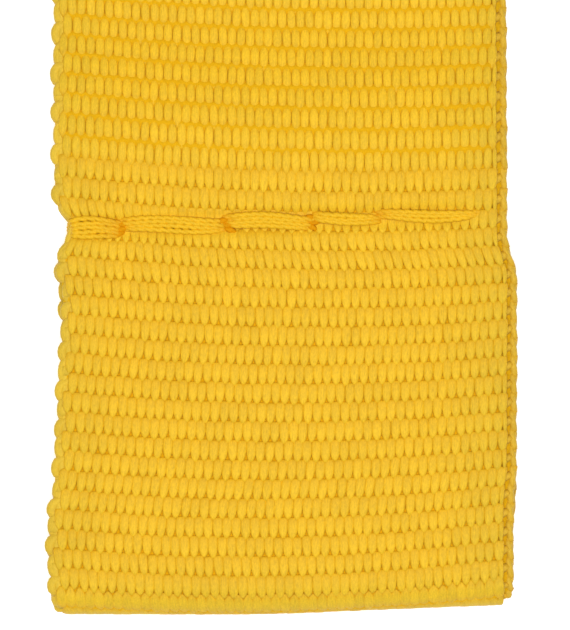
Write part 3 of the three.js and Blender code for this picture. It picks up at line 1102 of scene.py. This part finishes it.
class BELT_OT_seams(bpy.types.Operator):
    """Sew both hems with strands of twisted thread"""

    bl_idname = "belt.seams"
    bl_label = "Seam Threads"

    def execute(self, context):
        plan = Plan(context.scene)
        colours = context.scene.belt_colours
        route = plan.route
        rng = np.random.default_rng(SEED)
        far_places = (route.far_tip - route.lay.hem_length, route.raw_end - route.lay.raw_end_margin)
        tip_places = (route.lay.hem_length, route.flap_seam)
        ends = (("tip", tip_places, "tail", 0.12 * MM), ("far", far_places, "roll", 0.25 * MM))
        for end, places, body, step in ends:
            jobs = (
                (f"{end}_seam", seam_strands(route, places, rng), colours.thread, 0.2),
                # The knots take the dives' painted shade colour all over
                (f"{end}_knots", seam_knots(route, places, rng), colours.dive_shade, 0.05),
            )
            for name, strands, colour, shine in jobs:
                material = yarn_material(name, colour, colours.dive_shade, 0, 0.3, None, 0.4, 0.6, shine=shine)
                piece = self.thread_piece(name, strands, material, plan.weave.thread_pitch, step)
                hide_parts(f"{end}_seam_thread")
                settle(piece, (body,))
        return {"FINISHED"}

    def thread_piece(self, name, strands, material, pitch, step):
        """Sewing thread along lists of points."""
        curve = bpy.data.curves.new(f"{name}_line", "CURVE")
        curve.dimensions = "3D"
        for strand in strands:
            spline = curve.splines.new("POLY")
            spline.points.add(len(strand) - 1)
            spline.points.foreach_set("co", np.c_[strand, np.ones(len(strand))].ravel())
        source = bpy.data.objects.new(f"{name}_line", curve)
        bpy.context.scene.collection.objects.link(source)
        values = {"Ply Radius": PLY_RADIUS, "Twist Radius": TWIST_RADIUS, "Twist Pitch": pitch, "Step": step}
        return apply_tree(source, thread_tree(), {**values, "Material": material}, name)


class BELT_OT_declare(bpy.types.Operator):
    bl_idname = "belt.declare"
    bl_label = "Declare Webbing"

    def execute(self, context):
        return {"FINISHED"}


# Studio


def area_light(name, place, target, size, power):
    light = bpy.data.lights.new(name, "AREA")
    light.shape = "DISK"
    light.size = size
    light.energy = power
    obj = bpy.data.objects.new(name, light)
    obj.location = place
    obj.rotation_euler = (Vector(target) - Vector(place)).to_track_quat("-Z", "Y").to_euler()
    bpy.context.scene.collection.objects.link(obj)


FLOOR_REACH = 3.0
CAMERA_HEIGHT = 0.6
CAMERA_PLACE = (0.66 * MM, TIP_Y + 25.75 * MM, CAMERA_HEIGHT)
SEEN_LENGTH = 55.26 * MM  # of the belt in the camera's view, top to bottom
SENSOR_HEIGHT = 24.0


class BELT_OT_studio(bpy.types.Operator):
    """Set up the floor, the soft light and the camera over the belt's tip"""

    bl_idname = "belt.studio"
    bl_label = "Studio"

    def execute(self, context):
        scene = context.scene
        scene.view_settings.view_transform = "Standard"
        world = bpy.data.worlds.new("studio")
        scene.world = world
        world.use_nodes = True
        background = world.node_tree.nodes["Background"].inputs
        background["Color"].default_value = (1, 1, 1, 1)
        background["Strength"].default_value = 0.45
        corners = [(x * FLOOR_REACH, y * FLOOR_REACH, 0) for x, y in ((-1, -1), (1, -1), (1, 1), (-1, 1))]
        floor = mesh_object("floor", corners, [(0, 1, 2, 3)])
        floor.data.materials.append(plain_material("floor_white", (0.94, 0.94, 0.94), 0.9, 0.3))
        target = (0, TIP_Y + 0.03, 0)
        area_light("key", (-0.06, TIP_Y - 0.08, 0.80), target, 0.40, 4.3)
        area_light("fill", (0.20, TIP_Y + 0.20, 0.80), target, 0.50, 2.3)
        lens = bpy.data.cameras.new("camera")
        lens.sensor_fit = "VERTICAL"
        lens.sensor_height = SENSOR_HEIGHT
        lens.lens = SENSOR_HEIGHT * (CAMERA_HEIGHT - TAIL_HIGH.z) / SEEN_LENGTH
        lens.clip_start = 0.01
        lens.clip_end = 20
        camera = bpy.data.objects.new("camera", lens)
        camera.location = CAMERA_PLACE
        scene.collection.objects.link(camera)
        scene.camera = camera
        return {"FINISHED"}


class BELT_PT_panel(bpy.types.Panel):
    """Sizes, colours and the steps that make the belt"""

    bl_idname = "BELT_PT_panel"
    bl_label = "Martial Arts Belt"
    bl_space_type = "VIEW_3D"
    bl_region_type = "UI"
    bl_category = "Belt"

    def draw(self, context):
        for group in (context.scene.belt_lay, context.scene.belt_weave, context.scene.belt_colours):
            box = self.layout.box()
            for name in group.bl_rna.properties.keys():
                if name not in {"rna_type", "name"}:
                    box.prop(group, name)
        for operator in OPERATORS:
            self.layout.operator(operator.bl_idname)


GROUPS = (BeltLay, BeltWeave, BeltColours)
OPERATORS = (BELT_OT_studio, BELT_OT_core, BELT_OT_floats, BELT_OT_selvedges, BELT_OT_seams, BELT_OT_declare)


def register():
    for cls in (*GROUPS, *OPERATORS, BELT_PT_panel):
        bpy.utils.register_class(cls)
    bpy.types.Scene.belt_lay = PointerProperty(type=BeltLay)
    bpy.types.Scene.belt_weave = PointerProperty(type=BeltWeave)
    bpy.types.Scene.belt_colours = PointerProperty(type=BeltColours)


def unregister():
    del bpy.types.Scene.belt_colours
    del bpy.types.Scene.belt_weave
    del bpy.types.Scene.belt_lay
    for cls in reversed((*GROUPS, *OPERATORS, BELT_PT_panel)):
        bpy.utils.unregister_class(cls)


def main():
    register()
    bpy.ops.belt.studio()
    bpy.ops.belt.core()
    bpy.ops.belt.floats()
    bpy.ops.belt.selvedges()
    bpy.ops.belt.seams()
    bpy.ops.belt.declare()


if __name__ == "__main__":
    main()
